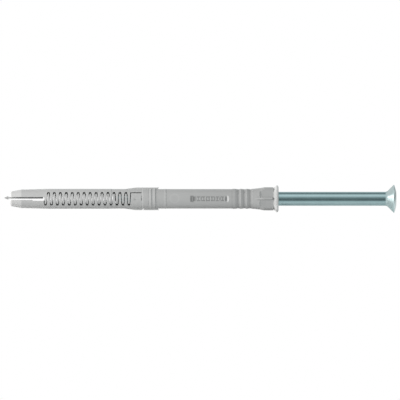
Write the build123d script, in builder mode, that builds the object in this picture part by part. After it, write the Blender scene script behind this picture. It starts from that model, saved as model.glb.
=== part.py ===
from build123d import *
from math import cos, radians, sqrt, tan
import os

# Frame fixing: a moulded nylon sleeve with a long countersunk screw standing in it, ready to be
# driven. Millimetres. The common axis is X, the tip points to -X and the screw head to +X. The
# origin is on the axis, in the rear face of the sleeve's collar, which is the face that ends up
# flush with the fixed frame. The slotted front of the sleeve faces -Y.

# Screw
screw_diameter = 7.0
screw_core = 5.0  # root of the thread
screw_length = 143.0
point_gap = 0.9  # from the expansion zone to the screw's point, before the screw is driven
shank_in_sleeve = 8.4  # plain shank inside the collar, before the thread starts
point_length = 2.6
head_diameter = 14.0
head_rim = 0.3
head_dome = 1.3
dome_steps = 3
dome_flat = 3.4  # radius of the flat in the middle, cut away by the socket
neck_slope = 0.9  # soft start of the head's cone
neck_rise = 0.35
socket_width = 6.65  # across the six points
socket_waist = 4.76  # across the hollows
socket_hollow = 1.4
socket_depth = 3.2

# Sleeve: overall sizes. All its radii follow from the drilled hole.
sleeve_length = 135.0
hole_diameter = 10.0  # the drilled hole, and the sleeve's expansion zone
shank_relief = 0.1  # plain tube between the fins and the collar, inside the hole's radius
leg_relief = 0.075  # behind the expansion zone, where the fins start
bore_play = 0.1  # round the screw
narrow_bore = 4.4  # square part in the expansion zone, so that the screw spreads the legs
bore_shoulder = 0.5  # from the screw's point to the narrow part
bore_end = 16.0  # from the ends of the legs

# Sleeve: collar with a countersunk seat
collar_inset = 0.25  # inside the head's radius
collar_edge = 0.85  # rounded edge of the rear face
collar_rim = 0.6
collar_bevel = 0.4
collar_root = 0.3  # past the hole's radius
countersink_angle = 90.0
seat_edge = 0.7  # flat ring round the countersink

# Sleeve: flared part below the collar, with flats and ribs. Heights are past the hole's radius.
notch_length = 0.1  # bare root between the collar's cone and the flare
flare_height = 0.82
flare_length = 4.55
flare_slope = 2.2
flare_foot_height = 0.42
flare_foot_slope = 3.4
flat_angle = 24.0  # between the normal of a flat and the Y axis
flat_runout = 1.2
rib_width = 0.75
rib_height = 0.42  # above the flats at the ridge between them
rib_length = 9.6
rib_ramp = 1.6

# Sleeve: ring grooves between flare and plain tube
land_height = 0.05  # past the hole's radius
groove_count = 3
groove_pitch = 3.0
groove_depth = 0.26
groove_rise = 1.15
groove_margin = 1.15
groove_gap = 0.3

# Sleeve: flat panel with plain depth ticks
panel_length = 19.6
panel_height = 3.5
panel_from_collar = 24.9
panel_fall = 1.8
panel_rise = 0.95
tick_count = 19
tick_pitch = 0.8
tick_width = 0.32
tick_height = 1.5
tall_tick_height = 2.3
tall_tick_every = 3
tick_relief = 0.14

# Sleeve: tip, measured from the ends of the legs. Reliefs are inside the hole's radius.
tip_relief = 1.25
tip_rounding = 0.45
tip_cone = 5.5
tip_shoulder_relief = 0.32
tip_waist = 10.7
tip_waist_relief = 0.24
zone_start = 18.9
zone_end = 50.7
zone_step = 0.4

# Sleeve: slot between the legs at the tip
tip_slot_above = 0.85
tip_slot_below = 0.6
tip_slot_wide_below = 0.98
tip_slot_wide_start = 10.8
tip_slot_end = 17.1
tip_slot_corner = 0.6

# Sleeve: locating tongue in that slot, with an arrow nib ahead of the legs
tongue_thickness = 0.74
tongue_width = 1.9
tongue_end = 16.4
tongue_seat = 0.05  # how far it sinks into the upper leg
nib_length = 2.1
nib_height = 1.8
nib_thickness = 1.3
nib_back = 0.25
nib_reach = 3.3

# Sleeve: serpentine slot that parts the legs, one in front and one turned round behind. It is
# wider at its turns than between them, and it narrows from the skin to its floor.
turn_count = 15
turn_pitch = 3.0
first_turn = 17.65
slot_reach = 3.03  # from the axis to the middle of the slot at a turn
turn_width = 0.6  # straight part of a turn
turn_bend = 0.3  # along the sleeve
turn_height = 0.7
turn_mouth = 0.72
turn_floor = 0.5
slot_mouth = 0.42
slot_bottom = 0.22
slot_floor = 0.5  # from the middle plane
end_slot_length = 5.45
end_mark_length = 2.5
end_mark_above = 0.38
end_mark_width = 0.35
end_mark_depth = 0.3
dimple_radius = 0.4
dimple_depth = 0.2
dimple_place = 62.6
dimple_below = 0.38

# Sleeve: locating fins above and below, and the rings between them. Heights are past the hole's
# radius.
fin_start = 57.7
fin_ramp = 5.5
fin_height = 0.68
fin_end = 74.2
fin_tail = 0.6
fin_tail_rise = 0.1
fin_thickness = 1.3
fin_slit = 0.4
slit_place = 66.2
ring_step = 66.4
tooth_height = 0.12
tooth_root_relief = 0.05
tooth_pitch = 2.0
tooth_rise = 1.25
tooth_drop = 0.35
tooth_start = 69.5
tooth_count = 2
bead_place = 77.3
bead_rise = 0.95
bead_drop = 0.3
bead_height = 0.08  # past the plain tube

# How deep ribs and fins are rooted in the tube, and how far a cutter goes past the skin
root_depth = 0.5
overcut = 0.1

tip_x = -sleeve_length
screw_tip_x = tip_x + zone_end + point_gap
screw_top_x = screw_tip_x + screw_length
screw_radius = screw_diameter / 2
head_radius = head_diameter / 2
hole_radius = hole_diameter / 2
shank_radius = hole_radius - shank_relief
leg_radius = hole_radius - leg_relief
land_radius = hole_radius + land_height
fin_radius = hole_radius + fin_height
collar_radius = head_radius - collar_inset
collar_root_radius = hole_radius + collar_root
bore_radius = screw_radius + bore_play
cone_slope = tan(radians(countersink_angle / 2))


def collar_profile():
    """Outline of the collar and the flare below it, from the rear face towards the tip."""
    bevel_x = -collar_bevel
    rim_x = bevel_x - collar_rim
    root_x = rim_x - (collar_radius - collar_root_radius) / cone_slope
    flare_x = root_x - notch_length
    slope_x = flare_x - flare_length
    foot_x = slope_x - flare_slope
    end_x = foot_x - flare_foot_slope
    return [
        (0, collar_radius - collar_edge),
        (bevel_x, collar_radius),
        (rim_x, collar_radius),
        (root_x, collar_root_radius),
        (flare_x, collar_root_radius),
        (flare_x, hole_radius + flare_height),
        (slope_x, hole_radius + flare_height),
        (foot_x, hole_radius + flare_foot_height),
        (end_x, land_radius),
    ]


def groove_profile(start_x):
    """Ring grooves: a steep side towards the collar and a gentle one towards the tip."""
    points = []
    for n in range(groove_count):
        edge_x = start_x - n * groove_pitch
        points.append((edge_x, land_radius))
        points.append((edge_x - groove_rise, land_radius - groove_depth))
    fall_x = start_x - groove_count * groove_pitch
    end_x = fall_x - groove_margin
    return points + [(fall_x, land_radius), (end_x, land_radius), (end_x, shank_radius)]


def bead_profile():
    """Low bead round the plain tube, just behind the fins."""
    bead_x = tip_x + bead_place
    return [
        (bead_x + bead_rise + bead_drop, shank_radius),
        (bead_x + bead_rise, shank_radius + bead_height),
        (bead_x, shank_radius),
    ]


def tooth_profile():
    """Saw-tooth rings behind the expansion zone, and the low step ahead of them."""
    last_x = tip_x + tooth_start + (tooth_count - 1) * tooth_pitch
    root_radius = hole_radius - tooth_root_relief
    points = [(last_x + tooth_rise + tooth_drop, shank_radius)]
    for n in range(tooth_count):
        start_x = last_x - n * tooth_pitch
        points.append((start_x + tooth_rise, hole_radius + tooth_height))
        points.append((start_x, root_radius))
        points.append((start_x - tooth_pitch + tooth_rise + tooth_drop, root_radius))
    points.pop()
    points.append((tip_x + tooth_start, hole_radius))
    points.append((tip_x + ring_step + zone_step, hole_radius))
    points.append((tip_x + ring_step, leg_radius))
    return points


def tip_profile():
    """Expansion zone, waist and blunt tip cone."""
    return [
        (tip_x + zone_end + zone_step, leg_radius),
        (tip_x + zone_end, hole_radius),
        (tip_x + zone_start, hole_radius),
        (tip_x + tip_waist, hole_radius - tip_waist_relief),
        (tip_x + tip_cone, hole_radius - tip_shoulder_relief),
        (tip_x + tip_rounding, hole_radius - tip_relief),
        (tip_x, hole_radius - tip_relief - tip_rounding),
        (tip_x, 0),
    ]


collar_points = collar_profile()
with BuildPart() as sleeve_blank:
    with BuildSketch(Plane.XZ):
        Polygon(
            (0, 0),
            *collar_points,
            *groove_profile(collar_points[-1][0] - groove_gap),
            *bead_profile(),
            *tooth_profile(),
            *tip_profile(),
            align=None,
        )
    revolve(axis=Axis.X)


shoulder_x = screw_tip_x - bore_shoulder


def bore_profile():
    """Countersunk seat and clear bore round the screw."""
    seat_radius = collar_radius - collar_edge - seat_edge
    return [
        (overcut, 0),
        (overcut, seat_radius + overcut * cone_slope),
        (-(seat_radius - bore_radius) / cone_slope, bore_radius),
        (shoulder_x, bore_radius),
        (shoulder_x, 0),
    ]


def tip_slot_outline():
    """Slot between the two legs, seen from the front. It is wider next to its closed end."""
    end_x = tip_x + tip_slot_end
    ahead_x = tip_x - nib_reach
    wide_x = tip_x + tip_slot_wide_start
    step = tip_slot_wide_below - tip_slot_below
    return [
        (ahead_x, tip_slot_above),
        (ahead_x, -tip_slot_below),
        (wide_x, -tip_slot_below),
        (wide_x + step, -tip_slot_wide_below),
        (end_x, -tip_slot_wide_below),
        (end_x, tip_slot_above),
    ]


turn_corner = turn_width / 2
turn_side = turn_corner + turn_bend
first_turn_x = tip_x + first_turn
last_leg_x = first_turn_x + (turn_count - 1) * turn_pitch + turn_pitch / 2 - turn_side
end_slot_x = last_leg_x + end_slot_length


def slot_outline(at_turn, between):
    """Closed outline of a serpentine slot, seen from the front, with its widths at a turn and
    between the turns. The corners are mitred."""
    turn = [
        (-turn_side, slot_reach - turn_height, between),
        (-turn_corner, slot_reach, at_turn),
        (turn_corner, slot_reach, at_turn),
        (turn_side, slot_reach - turn_height, between),
    ]
    path = [(first_turn_x - turn_side, -tip_slot_below, between)]
    for n in range(turn_count):
        turn_x = first_turn_x + n * turn_pitch
        path += [(turn_x + x, -z, width) for x, z, width in turn]
        if n < turn_count - 1:
            path += [(turn_x + turn_pitch / 2 + x, z, width) for x, z, width in turn]
    path += [(last_leg_x, slot_reach, between), (end_slot_x, slot_reach, between)]
    points = [Vector(x, z) for x, z, width in path]
    runs = [(b - a).normalized() for a, b in zip(points, points[1:])]
    outline = []
    for place, before, after in zip(path, runs[:1] + runs, runs + runs[-1:]):
        point = Vector(place[0], place[1])
        reach = (before + after) * (place[2] / 2 / (1 + before.dot(after)))
        across = Vector(-reach.Y, reach.X)
        outline = [point + across] + outline + [point - across]
    return outline


# Cutter for one serpentine slot, with the shallow groove and the dimple that mark its end
with BuildPart() as serpentine:
    with BuildSketch(Plane.XZ.offset(slot_floor)):
        Polygon(*slot_outline(turn_floor, slot_bottom), align=None)
    with BuildSketch(Plane.XZ.offset(hole_radius + overcut)):
        Polygon(*slot_outline(turn_mouth, slot_mouth), align=None)
    loft(ruled=True)
    with BuildSketch(Plane.XZ.offset(leg_radius - end_mark_depth)):
        with Locations((end_slot_x, end_mark_above)):
            Rectangle(end_mark_width, end_mark_length)
    extrude(amount=end_mark_depth + overcut)
    with BuildSketch(Plane.XZ.offset(leg_radius - dimple_depth)):
        with Locations((tip_x + dimple_place, -dimple_below)):
            Circle(dimple_radius)
    extrude(amount=dimple_depth + overcut)

# Cutter for one flat of the flare: it faces +Z here and runs out towards the tip.
flare_x = collar_points[4][0]
flat_x = flare_x - flare_length - flare_slope
flat_top = land_radius + flat_runout
with BuildPart() as flat_cutter:
    with BuildSketch(Plane.XZ):
        Polygon(
            (flat_x, land_radius),
            (flare_x, land_radius),
            (flare_x, flat_top),
            (flat_x - flat_runout, flat_top),
            align=None,
        )
    extrude(amount=hole_radius + flare_height, both=True)

# Rib on the ridge between two flats, standing towards +Z here.
ridge_z = land_radius / cos(radians(flat_angle))
rib_z = ridge_z - rib_width / 2 * tan(radians(flat_angle)) + rib_height
rib_foot_z = land_radius - root_depth
with BuildPart() as flare_rib:
    with BuildSketch(Plane.XZ):
        Polygon(
            (flare_x, rib_foot_z),
            (flare_x, rib_z),
            (flat_x + flare_slope, rib_z),
            (flare_x - rib_length + rib_ramp, hole_radius + flare_foot_height),
            (flare_x - rib_length, land_radius),
            (flare_x - rib_length, rib_foot_z),
            align=None,
        )
    extrude(amount=rib_width / 2, both=True)

# Locating fin, standing up from the root of the legs
fin_x = tip_x + fin_start
fin_end_x = tip_x + fin_end
fin_foot_z = shank_radius - root_depth
with BuildPart() as fin:
    with BuildSketch(Plane.XZ):
        Polygon(
            (fin_x, fin_foot_z),
            (fin_x, leg_radius),
            (fin_x + fin_ramp, fin_radius),
            (fin_end_x, fin_radius),
            (fin_end_x + fin_tail, fin_radius + fin_tail_rise),
            (fin_end_x, shank_radius),
            (fin_end_x, fin_foot_z),
            align=None,
        )
    extrude(amount=fin_thickness / 2, both=True)

# Slanted slit that parts the lower fin
slit_x = tip_x + slit_place
slit_rise = fin_radius - leg_radius
with BuildPart() as slit_cutter:
    with BuildSketch(Plane.XZ):
        Polygon(
            (slit_x, -fin_radius - overcut),
            (slit_x + fin_slit, -fin_radius - overcut),
            (slit_x + fin_slit + slit_rise, -hole_radius),
            (slit_x + slit_rise, -hole_radius),
            align=None,
        )
    extrude(amount=fin_thickness, both=True)

panel_y = -sqrt(shank_radius**2 - (panel_height / 2) ** 2)
panel_end_x = -panel_from_collar
panel_start_x = panel_end_x - panel_length
tick_middle_x = (panel_start_x + panel_fall + panel_end_x - panel_rise) / 2
tongue_z = tip_slot_above - tongue_thickness / 2
nib_x = tip_x - nib_reach
nib_end_x = nib_x + nib_length

with BuildPart() as sleeve:
    add(sleeve_blank.part)
    for side in (1, -1):
        for angle in (90 - flat_angle, 90 + flat_angle):
            add(flat_cutter.part.rotate(Axis.X, side * angle), mode=Mode.SUBTRACT)
    for angle in (90, -90):
        add(flare_rib.part.rotate(Axis.X, angle))
    for angle in (0, 180):
        add(fin.part.rotate(Axis.X, angle))
    add(slit_cutter.part, mode=Mode.SUBTRACT)
    # Flat panel with a row of plain ticks
    with BuildSketch(Plane.XY):
        Polygon(
            (panel_start_x, -hole_diameter),
            (panel_start_x, -shank_radius),
            (panel_start_x + panel_fall, panel_y),
            (panel_end_x - panel_rise, panel_y),
            (panel_end_x, -shank_radius),
            (panel_end_x, -hole_diameter),
            align=None,
        )
    extrude(amount=panel_height, both=True, mode=Mode.SUBTRACT)
    for n in range(tick_count):
        tick_x = tick_middle_x + (n - (tick_count - 1) / 2) * tick_pitch
        height = tall_tick_height if n % tall_tick_every == 0 else tick_height
        with BuildSketch(Plane.XZ.offset(-panel_y - tick_relief)):
            with Locations((tick_x, 0)):
                Rectangle(tick_width, height)
        extrude(amount=2 * tick_relief)
    # Bore with its countersunk seat
    with BuildSketch(Plane.XZ):
        Polygon(*bore_profile(), align=None)
    revolve(axis=Axis.X, mode=Mode.SUBTRACT)
    with BuildSketch(Plane.YZ.offset(tip_x + bore_end)):
        Rectangle(narrow_bore, narrow_bore)
    extrude(amount=shoulder_x - tip_x - bore_end, mode=Mode.SUBTRACT)
    # Slot between the legs, with the locating tongue of the upper leg and its nib
    with BuildSketch(Plane.XZ) as tip_slot:
        Polygon(*tip_slot_outline(), align=None)
        fillet(tip_slot.vertices().group_by(Axis.X)[-1], tip_slot_corner)
    extrude(amount=hole_diameter, both=True, mode=Mode.SUBTRACT)
    with BuildSketch(Plane.XY.offset(tip_slot_above - tongue_thickness)):
        with Locations((nib_end_x, 0)):
            Rectangle(
                nib_reach - nib_length + tongue_end,
                tongue_width,
                align=(Align.MIN, Align.CENTER),
            )
    extrude(amount=tongue_thickness + tongue_seat)
    with BuildSketch(Plane.XZ):
        Polygon(
            (nib_x, tongue_z),
            (nib_end_x, tongue_z + nib_height / 2),
            (nib_end_x + nib_back, tongue_z),
            (nib_end_x, tongue_z - nib_height / 2),
            align=None,
        )
    extrude(amount=nib_thickness / 2, both=True)
    # Serpentine slots, front and back
    for angle in (0, 180):
        add(serpentine.part.rotate(Axis.X, angle), mode=Mode.SUBTRACT)


# Screw: plain shank with a raised countersunk head, thread root and point. The low dome of the
# head is three cones whose edges lie on one arc.
rim_x = screw_top_x - head_dome
cone_x = rim_x - head_rim
neck_x = cone_x - (head_radius - screw_radius - neck_rise) / cone_slope
dome_points = []
for n in range(dome_steps + 1):
    r = dome_flat + (head_radius - dome_flat) * n / dome_steps
    dome_points.append((screw_top_x - head_dome * (r / head_radius) ** 2, r))
with BuildPart() as screw:
    with BuildSketch(Plane.XZ):
        Polygon(
            (dome_points[0][0], 0),
            *dome_points,
            (cone_x, head_radius),
            (neck_x, screw_radius + neck_rise),
            (neck_x - neck_slope, screw_radius),
            (-shank_in_sleeve, screw_radius),
            (-shank_in_sleeve, screw_core / 2),
            (screw_tip_x + point_length, screw_core / 2),
            (screw_tip_x, 0),
            align=None,
        )
    revolve(axis=Axis.X)
    # Six-lobed driving socket
    with BuildSketch(Plane.YZ.offset(screw_top_x - socket_depth)):
        Circle(socket_width / 2)
        with PolarLocations(socket_waist / 2 + socket_hollow, 6):
            Circle(socket_hollow, mode=Mode.SUBTRACT)
    extrude(amount=socket_depth + overcut, mode=Mode.SUBTRACT)


os.makedirs("parts", exist_ok=True)
for name, piece in (("sleeve", sleeve), ("screw", screw)):
    piece.part.label = name
    export_step(piece.part, f"parts/{name}.step")
    print(name, len(piece.part.solids()), "solid", round(piece.part.volume, 1), "mm3")
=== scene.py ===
# %% [markdown]
# # A frame fixing in Blender
# The object is a long nylon sleeve with a countersunk screw standing in it. It lies along the X
# axis, tip to the left, exactly where the CAD model has it. Everything is in metres. The solids
# come from the CAD frame and keep their shape. What this file adds is what solids leave out: the
# thread ridge of the screw, the finish of both pieces, the light and the camera.

# %% Load the packed solids
import math

import bpy
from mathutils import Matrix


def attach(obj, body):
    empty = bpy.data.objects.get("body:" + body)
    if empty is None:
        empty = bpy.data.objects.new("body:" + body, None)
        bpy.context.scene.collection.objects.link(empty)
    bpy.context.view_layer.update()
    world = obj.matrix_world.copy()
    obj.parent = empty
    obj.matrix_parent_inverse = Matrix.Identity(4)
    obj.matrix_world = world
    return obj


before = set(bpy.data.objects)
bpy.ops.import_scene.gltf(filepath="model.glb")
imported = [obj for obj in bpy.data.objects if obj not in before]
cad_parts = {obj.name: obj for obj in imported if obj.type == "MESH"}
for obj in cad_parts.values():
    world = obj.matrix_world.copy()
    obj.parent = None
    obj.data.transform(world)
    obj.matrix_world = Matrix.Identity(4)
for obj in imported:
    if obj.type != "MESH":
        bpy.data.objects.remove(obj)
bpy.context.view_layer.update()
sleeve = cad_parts["sleeve"]
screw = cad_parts["screw"]
MM = 0.001

# %% [markdown]
# ## Camera
# The fixing is seen square from the side, small in a square picture. A wide lens close by would
# show the tip and the head at an angle. A long lens far away shows a straight side view with
# hardly any perspective, as a catalogue photo does. The picture is a little wider than the
# fixing, and its middle lies to the left of the collar's rear face, where the origin is.

# %% Place the camera
VIEW_WIDTH = 201.5 * MM
VIEW_CENTRE = (-39.55 * MM, -0.60 * MM)  # along the axis and up
LENS = 1000.0
SENSOR = 36.0

camera_data = bpy.data.cameras.new("camera")
camera_data.lens = LENS
camera_data.sensor_width = SENSOR
camera_data.clip_start = 0.01
camera = bpy.data.objects.new("camera", camera_data)
bpy.context.scene.collection.objects.link(camera)
distance = VIEW_WIDTH * LENS / SENSOR
camera.location = (VIEW_CENTRE[0], -distance, VIEW_CENTRE[1])
camera.rotation_euler = (math.radians(90), 0, 0)
bpy.context.scene.camera = camera
bpy.context.scene.view_settings.view_transform = "Standard"
print("camera distance in mm:", round(distance / MM, 1))

# %% [markdown]
# ## Shader maths
# A finish is a sum of small patterns. Built by hand, each sum is a chain of Math nodes that
# nobody can read. Written as plain expressions they stay readable, so one class wraps a socket
# of a node tree and turns + - * / into Math nodes. Any other node comes from one function,
# `node`, which takes the node's type, its settings and the values of its sockets.


# %% A socket that can be used in expressions
class Wire:
    def __init__(self, tree, socket):
        self.tree = tree
        self.socket = socket

    def math(self, operation, *values):
        settings = {"operation": operation}
        return node(self.tree, "ShaderNodeMath", settings, dict(enumerate(values)))

    def __add__(self, other):
        return self.math("ADD", self, other)

    def __sub__(self, other):
        return self.math("SUBTRACT", self, other)

    def __rsub__(self, other):
        return self.math("SUBTRACT", other, self)

    def __mul__(self, other):
        return self.math("MULTIPLY", self, other)

    def __truediv__(self, other):
        return self.math("DIVIDE", self, other)

    def __rtruediv__(self, other):
        return self.math("DIVIDE", other, self)

    def __neg__(self):
        return self * -1.0

    __radd__ = __add__
    __rmul__ = __mul__

    def step(self, low, high):
        """0 below low, 1 above high, and a soft rise between them."""
        return node(
            self.tree,
            "ShaderNodeMapRange",
            {"interpolation_type": "SMOOTHSTEP"},
            {"Value": self, "From Min": low, "From Max": high},
            "Result",
        )

    def within(self, low, high, soft):
        """1 between low and high, 0 outside, with soft ends."""
        return self.step(low - soft, low + soft) * (1.0 - self.step(high - soft, high + soft))

    def away(self, middle=0.0):
        """How far the value is from a middle, always positive."""
        offset = self - middle
        return offset.math("ABSOLUTE", offset)


def plug(tree, value, socket):
    if isinstance(value, Wire):
        tree.links.new(value.socket, socket)
    else:
        socket.default_value = value


def node(tree, kind, settings=None, sockets=None, output=0):
    """Adds one node: settings first, then values or links of its sockets. Gives one output."""
    made = tree.nodes.new(kind)
    for name, value in (settings or {}).items():
        if name == "stops":
            ramp = made.color_ramp
            for place, _ in value[1:-1]:
                ramp.elements.new(place)
            for element, (place, colour) in zip(ramp.elements, value):
                element.position = place
                element.color = colour
        else:
            setattr(made, name, value)
    for name, value in (sockets or {}).items():
        plug(tree, value, made.inputs[name])
    return Wire(tree, made.outputs[output]) if made.outputs else None


print("a wire knows:", [name for name in vars(Wire) if not name.startswith("__")])


# %% Helpers for vectors, rays and colours
def split(vector):
    """The three numbers of a vector."""
    return [
        node(vector.tree, "ShaderNodeSeparateXYZ", None, {"Vector": vector}, n) for n in range(3)
    ]


def rays(tree):
    """Three masks: rays from the camera, off glossy surfaces, and through clear ones."""
    names = ("Is Camera Ray", "Is Glossy Ray", "Is Transmission Ray")
    return [node(tree, "ShaderNodeLightPath", output=name) for name in names]


def grey(level):
    return (level, level, level, 1.0)


def varying_grey(level):
    """A grey from a wire."""
    sockets = {"Red": level, "Green": level, "Blue": level}
    return node(level.tree, "ShaderNodeCombineColor", None, sockets)


def blend(tree, factor, first, second, way="MIX"):
    """Two colours mixed. In a Mix node sockets 6 and 7 are the colours, and output 2 is one."""
    settings = {"data_type": "RGBA", "blend_type": way}
    return node(tree, "ShaderNodeMix", settings, {"Factor": factor, 6: first, 7: second}, 2)


def shaded(tree, colour, factor):
    """A colour made lighter or darker by a factor that varies over the surface."""
    return blend(tree, 1.0, colour, factor, "MULTIPLY")


print("colour helpers ready")

# %% [markdown]
# ## The studio
# Such a fixing is photographed in a light tent: bright walls all round, a dark gap where the
# camera looks in, and a strong lamp beyond the tip. On the polished screw these walls show as
# long bands. Real panels round the object would give them too, but they would also throw light
# and get in the way of other views, so the world is painted by direction.
#
# Light on the object comes from an even pale wall. What the metal mirrors is a second picture.
# Only a narrow belt of it, straight above, below, before and behind the fixing, is seen in a bar
# that is looked at square from the side, and that belt carries the bands. The camera, and rays
# through clear things, see plain white.

# %% Choose the brightness of the walls
WALL = 0.76
SLOPE = 0.15  # how much brighter the tip's side is than the middle, and darker the head's side
BELOW = 0.20  # how much brighter the table side is than the middle, and darker the top
MIRRORED_WALL = 0.78
MIRRORED_DARK = 0.50  # how much darker the wall beyond the head is in the metal
DARK_SIDE = (0.1, 0.7)  # from where to where it darkens, along the axis
BELT = (0.18, 0.42)  # half width: whole inside the first, gone beyond the second
# Angle round the fixing in degrees, 0 at the camera, 90 above, 180 behind, and brightness there
BANDS = [
    (-180, 0.50), (-56, 0.66), (-44, 0.56), (-30, 0.20), (-14, 0.12), (4, 0.20), (20, 0.32),
    (36, 0.62), (57, 0.86), (72, 0.74), (86, 0.30), (106, 0.18), (122, 0.50), (150, 0.55),
    (180, 0.50),
]
RED_IN_DARK = 0.80  # the darker a band, the cooler: share of red where it is black
BLUE = 1.01  # share of blue


def room(level):
    """The colour of a band of this brightness."""
    red = level * (RED_IN_DARK + (1.0 - RED_IN_DARK) * level)
    return (red, level, level * BLUE, 1.0)


print("darkest band:", room(min(level for _, level in BANDS)))

# %% Choose the lamp's patch in the metal
# The lamp itself is kept out of reflections, where its sharp round image would burn out. A soft
# bright patch in the same direction stands for it.
LAMP_MIRRORED = 1.6
PATCH_ALONG = -0.998
PATCH_UP = 0.06
PATCH_EDGE = (0.94, 0.992)  # cosine of the angle from its middle: gone, and whole
print("patch reaches in degrees:", round(math.degrees(math.acos(PATCH_EDGE[0])), 1))

# %% Paint the walls of the light tent
world = bpy.data.worlds.new("light_tent")
bpy.context.scene.world = world
world.use_nodes = True
tree = world.node_tree
tree.nodes.clear()
along, across, up = split(node(tree, "ShaderNodeTexCoord", output="Generated"))

angle = up.math("ARCTAN2", up, -across) / (2 * math.pi) + 0.5
stops = [((degrees + 180) / 360, room(level)) for degrees, level in BANDS]
bands = node(tree, "ShaderNodeValToRGB", {"stops": stops}, {"Fac": angle}, "Color")
belt = 1.0 - along.away().step(*BELT)

dark = along.step(*DARK_SIDE) * MIRRORED_DARK
patch = (up * PATCH_UP + along * PATCH_ALONG).step(*PATCH_EDGE) * LAMP_MIRRORED
far_wall = varying_grey(MIRRORED_WALL - dark + patch)
wall = varying_grey((1.0 - along * SLOPE - up * BELOW) * WALL)
print("tent with", len(BANDS), "bands")

# %% Show each kind of ray its picture
camera_ray, mirrored, through = rays(tree)
tent = blend(tree, mirrored, wall, blend(tree, belt, far_wall, bands))
tent_light = node(tree, "ShaderNodeBackground", None, {"Color": tent})
white = node(tree, "ShaderNodeBackground", None, {"Color": grey(1.0)})
plain_white = camera_ray.math("MAXIMUM", camera_ray, through)
seen = node(tree, "ShaderNodeMixShader", None, {"Fac": plain_white, 1: tent_light, 2: white})
node(tree, "ShaderNodeOutputWorld", None, {"Surface": seen})
print("world nodes:", len(tree.nodes))

# %% [markdown]
# ## Floor
# The fixing is held level, as it is in a catalogue picture, and a plain white sheet lies under
# it. The sheet just touches the edge of the screw's head, the widest place. Lit alone it would
# come out grey. More light would burn out the fixing, so the sheet itself glows: to the camera
# enough to look white, while the soft shadow under the fixing stays, and in the metal much less,
# because full white there would wipe out the dark bands on the shank.

# %% Lay the floor
FLOOR_Z = -7.0 * MM
FLOOR_SIZE = 12.0
FLOOR_FRONT = 5.0 * MM  # from the axis to the front edge of the sheet
FLOOR_COLOUR = 0.88
FLOOR_GLOW = 0.42
MIRRORED_GLOW = 0.05

bpy.ops.object.select_all(action="DESELECT")
floor_y = FLOOR_SIZE / 2 - FLOOR_FRONT
bpy.ops.mesh.primitive_plane_add(size=FLOOR_SIZE, location=(0, floor_y, FLOOR_Z))
floor = bpy.context.object
floor.name = "floor"
sheet = bpy.data.materials.new("white_sheet")
sheet.use_nodes = True
tree = sheet.node_tree
tree.nodes.clear()
paper = node(tree, "ShaderNodeBsdfDiffuse", None, {"Color": grey(FLOOR_COLOUR)})
camera_ray, mirrored, through = rays(tree)
strength = (camera_ray + through) * FLOOR_GLOW + mirrored * MIRRORED_GLOW
glow = node(tree, "ShaderNodeEmission", None, {"Color": grey(1.0), "Strength": strength})
both = node(tree, "ShaderNodeAddShader", None, {0: paper, 1: glow})
node(tree, "ShaderNodeOutputMaterial", None, {"Surface": both})
floor.data.materials.append(sheet)
print("floor at mm:", FLOOR_Z / MM)

# %% [markdown]
# ## Lamp
# One round soft lamp stands beyond the tip, nearly in line with the fixing. Light that grazes a
# part lengthwise shows every groove, turn and edge across it, which a lamp above would leave
# flat. It is a little warm, faces the middle of the picture, and is not seen in reflections.

# %% Hang the lamp
LAMP_PLACE = (-0.435, -0.095, 0.055)
LAMP_WIDTH = 0.13
LAMP_POWER = 1.9
LAMP_COLOUR = (1.0, 0.945, 0.935)

lamp_data = bpy.data.lights.new("tip_lamp", "AREA")
lamp_data.shape = "DISK"
lamp_data.size = LAMP_WIDTH
lamp_data.energy = LAMP_POWER
lamp_data.color = LAMP_COLOUR
lamp = bpy.data.objects.new("tip_lamp", lamp_data)
lamp.location = LAMP_PLACE
aim = VIEW_CENTRE[0] - LAMP_PLACE[0], -LAMP_PLACE[1], -LAMP_PLACE[2]
turn = math.atan2(aim[1], aim[0])
tilt = math.atan2(-aim[2], math.hypot(aim[0], aim[1]))
lamp.rotation_euler = (0, math.radians(-90) + tilt, turn)
lamp.visible_camera = False
lamp.visible_glossy = False
bpy.context.scene.collection.objects.link(lamp)
print("lamp turned by degrees:", round(math.degrees(turn), 1))

# %% [markdown]
# ## Tools for both finishes
# Moulded nylon and plated steel both need fine patterns and softly rounded edges. The edges could
# be bevelled in the mesh, but the CAD mesh stays as it is, so a Bevel node rounds them in the
# shader only, and a Bump node lays the fine patterns over it.

# %% Helpers for a finish
EDGE_RADIUS = 0.10 * MM
BEVEL_SAMPLES = 4


def noise(tree, coordinates, scale, detail=2.0, along=1.0):
    """A noise of so many waves for each metre, from 0 to 1, and so many times that along X."""
    placed = node(
        tree, "ShaderNodeMapping", None, {"Vector": coordinates, "Scale": (along, 1.0, 1.0)}
    )
    sockets = {"Vector": placed, "Scale": scale, "Detail": detail, "Roughness": 0.5}
    return node(tree, "ShaderNodeTexNoise", None, sockets)


def relief(tree, strength, depth, height):
    """Fine relief over softly rounded edges."""
    bevel = node(
        tree, "ShaderNodeBevel", {"samples": BEVEL_SAMPLES}, {"Radius": EDGE_RADIUS}
    )
    sockets = {"Strength": strength, "Distance": depth, "Height": height, "Normal": bevel}
    return node(tree, "ShaderNodeBump", None, sockets)


def new_material(name):
    made = bpy.data.materials.new(name)
    made.use_nodes = True
    made.node_tree.nodes.clear()
    return made, made.node_tree


def dress(solid, material, surface):
    """Ends a material with its surface and puts it on a solid."""
    node(surface.tree, "ShaderNodeOutputMaterial", None, {"Surface": surface})
    solid.data.materials.clear()
    solid.data.materials.append(material)


print("edges rounded in mm:", EDGE_RADIUS / MM)

# %% [markdown]
# ## Nylon of the sleeve
# The sleeve is moulded in grey nylon. Such a moulding is satin, not glossy: the tool's surface
# leaves a fine grain, the colour flows in faint streaks along the part, and small scuffs come
# from the bag it is sold in. An image could carry all that, but it would smear on the slots, so
# four noises in the part's own coordinates do it.

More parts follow.
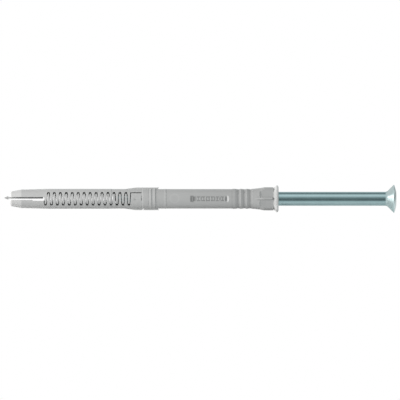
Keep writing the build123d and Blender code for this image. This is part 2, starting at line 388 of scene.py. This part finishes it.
# %% Grain, streaks and scuffs of the nylon
nylon, tree = new_material("nylon")
place = node(tree, "ShaderNodeTexCoord", output="Object")
streaks = noise(tree, place, scale=260.0, detail=3.0, along=0.12)
clouds = noise(tree, place, scale=70.0)
grain = noise(tree, place, scale=9000.0)
scuffs = noise(tree, place, scale=1400.0, detail=4.0, along=0.25).step(0.60, 0.72)
NYLON_TONE = 0.955  # of plain nylon, before patterns and places are added
tone = NYLON_TONE + streaks * 0.05 + clouds * 0.05 + scuffs * 0.02
print("noises so far:", sum(n.bl_idname == "ShaderNodeTexNoise" for n in tree.nodes))

# %% [markdown]
# ## Painted light and shade on the nylon
# In a light tent thin nylon lets light through and looks paler, as at the collar and between the
# slots, and the corners of grooves and ribs lie in shade and look darker. Translucence in the
# shader would give some of this, but it makes the picture noisy. So this light and shade is
# painted into the colour: each place gets a small number added to the tone, above 0 painted
# light, below 0 painted shade. It belongs to that light and stays as it is under another. Places
# are in millimetres from the collar's rear face, as in the CAD model.

# %% Measure places on the sleeve
x, y, z = (value / MM for value in split(place))
radius = y.math("SQRT", y * y + z * z)
front = 1.0 - y.step(-1.0, 0.0)  # the half that carries the panel
print("nodes of the nylon so far:", len(tree.nodes))

# %% Painted light on the thin collar, painted shade in the grooves in front of it
COLLAR = (-2.95, -2.45)  # where it starts
RIM = (-1.0, -0.5)
OUTER = (2.0, 6.0)  # height from the middle, over which the collar gets paler
GROOVES = (-23.6, -13.0)
GROOVE_DEPTH = (4.84, 5.0)  # distance from the axis: in a groove, and out of it
# Painted light on the collar, most towards its top and bottom, and on its rim; painted shade in
# the grooves.
COLLAR_PAINTED_LIGHT = 0.06
OUTER_PAINTED_LIGHT = 0.28
RIM_PAINTED_LIGHT = 0.30
GROOVE_PAINTED_SHADE = -0.14

# Painted light: paler collar and rim. Painted shade: darker grooves.
collar = x.step(*COLLAR) * (COLLAR_PAINTED_LIGHT + z.away().step(*OUTER) * OUTER_PAINTED_LIGHT)
rim = x.step(*RIM) * RIM_PAINTED_LIGHT
grooves = x.within(*GROOVES, 0.2) * (1.0 - radius.step(*GROOVE_DEPTH)) * GROOVE_PAINTED_SHADE
print("collar tone from", COLLAR[0], "mm, grooves", GROOVES, "mm")

# %% Painted light and shade on the panel with its ticks
TICKS = (-43.4, -26.0)
TICK_REACH = (1.0, 1.3)  # height from the middle: whole, and gone
TICK_FOOT = (4.62, 4.68)  # distance from the axis, between the panel and the top of a tick
PANEL_REACH = (1.5, 1.7)
PANEL_NEAR = (-25.9, -25.0)  # the slope that faces the lamp
PANEL_FAR = (-44.5, -42.9)
# Painted shade between the ticks and at the far end of the panel; painted light on the tops of
# the ticks and on the slope facing the lamp.
PANEL_PAINTED_SHADE = -0.42
TICK_PAINTED_LIGHT = 1.0  # more than the panel round it
NEAR_PAINTED_LIGHT = 0.30

# Painted light and shade of the ticks and of the panel's ends.
ticks_area = front * x.within(*TICKS, 0.1) * (1.0 - z.away().step(*TICK_REACH))
ticks = ticks_area * ((-y).step(*TICK_FOOT) * TICK_PAINTED_LIGHT + PANEL_PAINTED_SHADE)
painted_panel_end_light_and_shade = front * (1.0 - z.away().step(*PANEL_REACH)) * (
    x.within(*PANEL_NEAR, 0.1) * NEAR_PAINTED_LIGHT + x.within(*PANEL_FAR, 0.1) * PANEL_PAINTED_SHADE
)
print("ticks", TICKS, "mm")

# %% Painted light and shade on the rib of the flare
RIB = (-10.8, -2.9)
RIB_TOP = (-0.1, 0.6)  # heights from the middle
RIB_FOOT = (-0.75, -0.3)  # the lower corner, the darker one
RIB_BACK = (0.75, 1.2)
RIB_END = (-3.2, -2.3)  # shadow where the rib meets the collar
RIB_END_HEIGHT = (-0.4, 0.7)
FLAT_START = (-9.7, -8.3)
FLAT_REACH = (2.6, 3.6)
# Painted light on the top of the rib and where the flats start; painted shade at its corners and
# a painted shadow at its end.
RIB_TOP_PAINTED_LIGHT = 0.06
RIB_FOOT_PAINTED_SHADE = -0.22
RIB_BACK_PAINTED_SHADE = -0.08
RIB_END_PAINTED_SHADOW = -0.35
FLAT_START_PAINTED_LIGHT = 0.10

# Painted light and shade of the rib, its end and the start of the flats.
rib = front * x.within(*RIB, 0.5) * (
    z.within(*RIB_TOP, 0.15) * RIB_TOP_PAINTED_LIGHT
    + z.within(*RIB_FOOT, 0.1) * RIB_FOOT_PAINTED_SHADE
    + z.within(*RIB_BACK, 0.1) * RIB_BACK_PAINTED_SHADE
)
painted_rib_end_shadow = front * x.within(*RIB_END, 0.15) * z.within(*RIB_END_HEIGHT, 0.15) * RIB_END_PAINTED_SHADOW
flat_middle = 1.0 - z.away().step(*FLAT_REACH)
painted_flat_start_light = front * x.within(*FLAT_START, 0.3) * flat_middle * FLAT_START_PAINTED_LIGHT
print("rib", RIB, "mm")

# %% Painted shade on the nib, the round mark on the tube, and painted light on edges and webs
NIB = (-135.8, -135.2)  # beyond the ends of the legs
MARK_X = -52.4
MARK_Z = 0.2
MARK_RADIUS = 2.2
MARK_LINE = (0.15, 0.40)  # half width: whole, and gone
WEBS = (-118.0, -68.0)  # the stretch with the serpentine slots
TUBE = (-42.0, -36.0)  # from here to the collar all is a trace darker
EDGES = (0.80, 1.0)  # height as a share of the distance from the axis: from where, and the edge
LOWER_EDGE = (0.88, 1.0)
# Painted shade on the nib and a trace of it from the tube to the collar; painted light towards
# the top and bottom edges, most at the bottom, and between the slots.
NIB_PAINTED_SHADE = -0.22
MARK_TONE = 0.07
PAINTED_EDGE_LIGHT = 0.16
PAINTED_LOWER_EDGE_LIGHT = 0.10
WEB_PAINTED_LIGHT = 0.07
TUBE_PAINTED_SHADE = -0.02

# Painted shade on the nib, painted light on the edges and webs, painted shade on the tube.
nib = (1.0 - x.step(*NIB)) * NIB_PAINTED_SHADE
mark_x = x - MARK_X
mark_z = z - MARK_Z
from_line = x.math("SQRT", mark_x * mark_x + mark_z * mark_z).away(MARK_RADIUS)
mark = front * (1.0 - from_line.step(*MARK_LINE)) * MARK_TONE
edges = (z.away() / radius).step(*EDGES) * PAINTED_EDGE_LIGHT
edges = edges + (-z / radius).step(*LOWER_EDGE) * PAINTED_LOWER_EDGE_LIGHT
painted_web_light_and_tube_shade = x.within(*WEBS, 3.0) * WEB_PAINTED_LIGHT + x.step(*TUBE) * TUBE_PAINTED_SHADE
print("round mark at", MARK_X, "mm, radius", MARK_RADIUS, "mm")

# %% Finish of the sleeve
NYLON = (0.412, 0.425, 0.422)
NYLON_ROUGHNESS = 0.46
GRAIN_DEPTH = 0.008 * MM

# The random tones, plus the painted light and shade of the places above, and the round mark.
tone = tone + collar + rim + grooves + edges + painted_web_light_and_tube_shade
tone = tone + ticks + painted_panel_end_light_and_shade + rib + mark + painted_rib_end_shadow + painted_flat_start_light + nib
skin = node(
    tree,
    "ShaderNodeBsdfPrincipled",
    None,
    {
        "Base Color": shaded(tree, (*NYLON, 1.0), tone),
        "Roughness": NYLON_ROUGHNESS + clouds * 0.06 - scuffs * 0.05,
        "Specular IOR Level": 0.42,
        "IOR": 1.5,
        "Normal": relief(tree, 0.20, GRAIN_DEPTH, grain + scuffs * 0.5 + streaks * 0.8),
    },
)
dress(sleeve, nylon, skin)
print("nylon on", sleeve.name, "with", len(tree.nodes), "nodes")

# %% [markdown]
# ## Zinc of the screw
# The screw is steel with bright zinc plating, sealed by a clear film that leaves a cold
# blue-green cast. The drawn wire keeps very fine lines along the shank, and the plating is
# slightly cloudy. Metal takes its look from what it reflects, so the finish itself is only a
# tint, a low roughness that drifts a little, and these patterns. The head's tint is less
# blue-green, a painted reflection of the lamp. In a light tent the lower half of the head and its
# thin edge mirror the bright sheet below. Here the sheet glows only weakly in metal, so that
# reflection is
# painted: these places get a paler tone.

# %% Lines, clouds and specks of the plating
zinc, tree = new_material("zinc_plated_steel")
place = node(tree, "ShaderNodeTexCoord", output="Object")
drawn = noise(tree, place, scale=5200.0, along=0.02)
bloom = noise(tree, place, scale=180.0, detail=3.0)
specks = noise(tree, place, scale=2600.0).step(0.66, 0.74)
ZINC_TONE = 0.95  # of plain plating, before patterns and places are added
tone = ZINC_TONE + bloom * 0.09 - specks * 0.06
print("noises so far:", sum(n.bl_idname == "ShaderNodeTexNoise" for n in tree.nodes))

# %% Painted reflection on the head
HEAD = (53.2, 55.0)  # from the neck into the cone, in mm from the collar's rear face
LOWER_HALF = (0.5, 2.5)  # below the middle
HEAD_EDGE = (57.9, 58.6)
# Painted reflection of the sheet below: paler lower half and edge of the head.
PAINTED_LOWER_HEAD_REFLECTION = 0.22
PAINTED_HEAD_EDGE_REFLECTION = 0.25

x, y, z = (value / MM for value in split(place))
head = x.step(*HEAD)
# Painted reflection on the lower half of the head and on its edge.
lower = head * (-z).step(*LOWER_HALF)
tone = tone + lower * PAINTED_LOWER_HEAD_REFLECTION + x.within(*HEAD_EDGE, 0.15) * PAINTED_HEAD_EDGE_REFLECTION
print("head from", HEAD[0], "mm")

# %% Finish of the screw
ZINC = (0.51, 0.68, 0.70)
# On the head a less blue-green tint, a painted reflection of the lamp.
HEAD_ZINC_PAINTED_REFLECTION = (0.57, 0.69, 0.69)
ZINC_ROUGHNESS = 0.17
LINE_DEPTH = 0.006 * MM

# Blue-green film, with the painted reflection tint on the head.
film = blend(tree, head, (*ZINC, 1.0), (*HEAD_ZINC_PAINTED_REFLECTION, 1.0))
plating = node(
    tree,
    "ShaderNodeBsdfPrincipled",
    None,
    {
        "Base Color": shaded(tree, film, tone),
        "Metallic": 1.0,
        "Roughness": ZINC_ROUGHNESS + bloom * 0.08 + specks * 0.1,
        "Normal": relief(tree, 0.30, LINE_DEPTH, drawn + specks * 0.5),
    },
)
dress(screw, zinc, plating)
print("zinc on", screw.name, "with", len(tree.nodes), "nodes")

# %% [markdown]
# ## Thread of the screw
# Inside the sleeve the screw carries a coarse thread that bites into the nylon. The solid has
# only its root, a 5 mm bar, because a helix makes a heavy solid. The ridge could be carved or
# swept. Here its section is drawn once, as a small four-sided loop, and the Screw modifier turns
# it round the axis while it moves along. At both ends the ridge fades into the root.

# %% Draw the section of the ridge
PITCH = 3.3 * MM
ROOT = 2.5 * MM
CREST = 3.45 * MM
SINK = 0.1 * MM  # how far the foot reaches into the root
THREAD_START = -82.2 * MM
THREAD_END = -8.9 * MM
FOOT_WIDTH = 1.5 * MM
CREST_WIDTH = 0.25 * MM

bpy.ops.object.select_all(action="DESELECT")
bpy.ops.mesh.primitive_plane_add(size=FOOT_WIDTH, location=(0, 0, 0))
thread = bpy.context.object
thread.name = "screw_thread"
bpy.ops.object.mode_set(mode="EDIT")
bpy.ops.mesh.delete(type="ONLY_FACE")
bpy.ops.object.mode_set(mode="OBJECT")
for vertex in thread.data.vertices:
    crest = vertex.co.y > 0
    half_width = math.copysign(0.5, vertex.co.x) * (CREST_WIDTH if crest else FOOT_WIDTH)
    vertex.co = (THREAD_START + half_width, 0, CREST if crest else ROOT - SINK)
print("section corners:", len(thread.data.vertices))

# %% Turn it round the axis
STEPS = 32  # for each turn

turns = round((THREAD_END - THREAD_START) / PITCH)
winding = thread.modifiers.new("winding", "SCREW")
winding.axis = "X"
winding.angle = math.radians(360)
winding.screw_offset = PITCH
winding.iterations = turns
winding.steps = STEPS
winding.render_steps = STEPS
winding.use_smooth_shade = True
bpy.context.view_layer.objects.active = thread
thread.select_set(True)
bpy.ops.object.modifier_apply(modifier="winding")
print("turns:", turns, "faces:", len(thread.data.polygons))

# %% Fade both ends into the root
FADE = 2.6 * MM

low = min(v.co.x for v in thread.data.vertices)
high = max(v.co.x for v in thread.data.vertices)
for vertex in thread.data.vertices:
    from_axis = math.hypot(vertex.co.y, vertex.co.z)
    if from_axis > ROOT:
        near_end = min(vertex.co.x - low, high - vertex.co.x)
        wanted = ROOT + (from_axis - ROOT) * min(1.0, near_end / FADE)
        vertex.co.y *= wanted / from_axis
        vertex.co.z *= wanted / from_axis
print("thread from", round(low / MM, 2), "to", round(high / MM, 2), "mm")

# %% Close the ends, point the faces outwards and join the thread to the screw's body
SMOOTH_ANGLE = math.radians(35)

bpy.ops.object.mode_set(mode="EDIT")
bpy.ops.mesh.select_all(action="DESELECT")
bpy.ops.mesh.select_non_manifold()
bpy.ops.mesh.edge_face_add()
bpy.ops.mesh.select_all(action="SELECT")
bpy.ops.mesh.normals_make_consistent(inside=False)
bpy.ops.object.mode_set(mode="OBJECT")
bpy.ops.object.shade_smooth_by_angle(angle=SMOOTH_ANGLE)
thread.data.materials.append(zinc)
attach(thread, "root")
print("thread faces:", len(thread.data.polygons))
